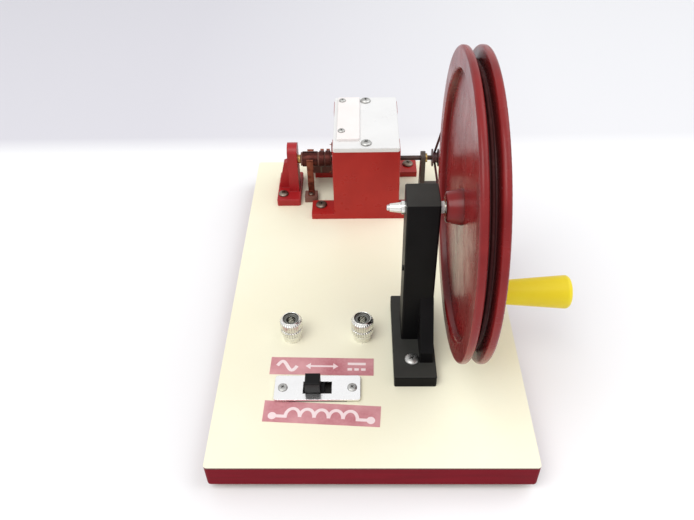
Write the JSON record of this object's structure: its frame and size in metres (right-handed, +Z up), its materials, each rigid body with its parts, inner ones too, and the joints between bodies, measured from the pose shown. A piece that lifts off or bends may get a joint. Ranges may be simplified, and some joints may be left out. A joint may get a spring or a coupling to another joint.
{
  "type": "hand-cranked dynamo demonstration model",
  "caption": "Classroom dynamo on a board: a hand-cranked grooved wheel and belt spin a wound armature between magnets, with commutator, slip rings, switch and terminals.",
  "frame": {"origin": "on the ground, under the middle of the whole model's box, handle included", "axes": "+X to the right along the shafts, towards the crank handle; +Y away from the switch towards the dynamo; +Z up"},
  "size_m": [0.1466, 0.203, 0.1453],
  "materials": {
    "core_board": "plain chipboard",
    "laminate": "satin cream sheet",
    "edge": "crimson band",
    "rubber": "matte black",
    "screw_steel": "bright zinc plate",
    "black_plastic": "moulded black",
    "wheel_red": "moulded dark red",
    "handle_yellow": "moulded yellow",
    "belt_rubber": "thin dark red round belt",
    "pole_red": "glossy red paint on iron",
    "stand_red": "moulded red",
    "magnet": "dark sintered block",
    "white_plastic": "white",
    "strip": "pale strip",
    "core_steel": "stacked sheet",
    "shaft_steel": "ground",
    "dark_steel": "oil-darkened steel",
    "bobbin": "pressed card",
    "enamel_wire": "copper wire under red enamel",
    "fibre": "red-brown fibre",
    "copper": "dull copper",
    "spring_brass": "springy sheet brass",
    "bearing_brass": "turned brass",
    "bracket_steel": "grey-brown finish",
    "pulley_black": "moulded dark",
    "nickel": "nickel plate",
    "tin": "tinned sheet",
    "switch_bakelite": "dark moulded body"
  },
  "bodies": {
    "stand": {"base_board": "core_board", "laminate_top": "laminate", "edge_band": "edge", "rubber_feet": "rubber", "foot_screws": "screw_steel", "wheel_stand": "black_plastic", "wheel_stand_screws": "screw_steel", "wheel_axle": "shaft_steel", "axle_nuts": "nickel", "axle_spacer": "white_plastic", "axle_washer": "screw_steel", "drive_belt": "belt_rubber", "pole_block_front": "pole_red", "pole_block_rear": "pole_red", "pole_block_screws": "screw_steel", "magnet_front": "magnet", "magnet_rear": "magnet", "top_cover": "white_plastic", "cover_screws": "screw_steel", "cover_strip": "strip", "strip_screws": "screw_steel", "bearing_stand_left": "stand_red", "bearing_bush_left": "bearing_brass", "bearing_stand_screws": "screw_steel", "bearing_bracket_right": "bracket_steel", "bearing_bush_right": "bearing_brass", "bearing_bracket_screws": "screw_steel", "commutator_brush_front": "spring_brass", "commutator_brush_rear": "spring_brass", "slip_ring_brush_1": "spring_brass", "slip_ring_brush_2": "spring_brass", "brush_block_front": "fibre", "brush_block_rear": "fibre", "brush_screws": "screw_steel", "terminal_studs": "nickel", "terminal_nuts": "nickel", "switch_plate": "tin", "switch_body": "switch_bakelite", "switch_lugs": "tin", "switch_screws": "screw_steel"},
    "wheel": {"drive_wheel": "wheel_red", "hub_bush": "bearing_brass", "crank_pin": "shaft_steel", "crank_washer": "screw_steel"},
    "handle": {"handle_grip": "handle_yellow"},
    "armature": {"armature_shaft": "dark_steel", "armature_core": "core_steel", "armature_bobbin": "bobbin", "armature_winding": "enamel_wire", "ring_hub": "fibre", "commutator_segments": "copper", "slip_ring_1": "copper", "slip_ring_2": "copper", "winding_tags": "copper", "driven_pulley": "pulley_black"},
    "left_terminal_knob": {"terminal_knob_left": "nickel"},
    "right_terminal_knob": {"terminal_knob_right": "nickel"},
    "slider": {"switch_slider": "black_plastic"}
  },
  "joints": [
    {"name": "wheel_spin", "type": "hinge", "parent": "stand", "child": "wheel", "pos_m": [0.0267, -0.0353, 0.0871], "axis": [1, 0, 0], "continuous": true},
    {"name": "handle_spin", "type": "hinge", "parent": "wheel", "child": "handle", "pos_m": [0.0537, -0.0353, 0.0421], "axis": [1, 0, 0], "continuous": true},
    {"name": "armature_spin", "type": "hinge", "parent": "stand", "child": "armature", "pos_m": [-0.01045, 0.0726, 0.037], "axis": [1, 0, 0], "continuous": true},
    {"name": "left_terminal_lift", "type": "slide", "parent": "stand", "child": "left_terminal_knob", "axis": [0, 0, 1], "range_m": [0, 0.003]},
    {"name": "right_terminal_lift", "type": "slide", "parent": "stand", "child": "right_terminal_knob", "axis": [0, 0, 1], "range_m": [0, 0.003]},
    {"name": "switch_slide", "type": "slide", "parent": "stand", "child": "slider", "axis": [1, 0, 0], "range_m": [0, 0.0036]}
  ],
  "couplings": [
    {"joint": "armature_spin", "follows": "wheel_spin", "ratio": 14.658}
  ]
}
